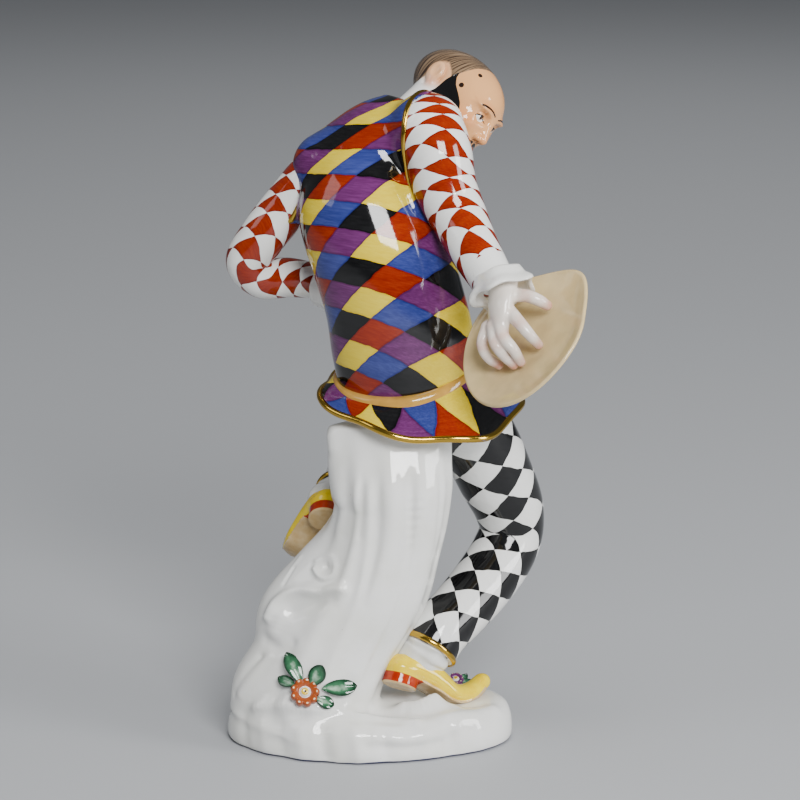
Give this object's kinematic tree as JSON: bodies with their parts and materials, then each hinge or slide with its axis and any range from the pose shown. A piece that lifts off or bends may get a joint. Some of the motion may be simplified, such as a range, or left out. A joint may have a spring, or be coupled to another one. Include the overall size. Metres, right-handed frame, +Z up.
{
  "type": "porcelain figurine",
  "caption": "Glazed porcelain figurine of a dancer in lozenge motley who bows with his hat in hand, on a mound with a tree stump behind him.",
  "frame": {"origin": "middle of the mound's flat underside, on the surface that the figurine stands on", "axes": "+Z up; +X to the right and +Y away from a viewer who sees the dancer from behind"},
  "size_m": [0.0835, 0.0758, 0.1596],
  "materials": {
    "glazed_porcelain": "clear glossy glaze over white hard-paste porcelain",
    "red_enamel": "glossy overglaze enamel, iron red",
    "blue_enamel": "glossy overglaze enamel, blue",
    "yellow_enamel": "glossy overglaze enamel, yellow",
    "black_enamel": "glossy overglaze enamel, black",
    "green_enamel": "glossy overglaze enamel, shaded green",
    "skin_enamel": "glossy overglaze enamel, pale skin with brown brushed hair",
    "felt_enamel": "glossy overglaze enamel, pale fawn",
    "gilding": "fired and burnished gilding"
  },
  "bodies": {
    "root": {"figure": "glazed_porcelain"}
  },
  "joints": []
}
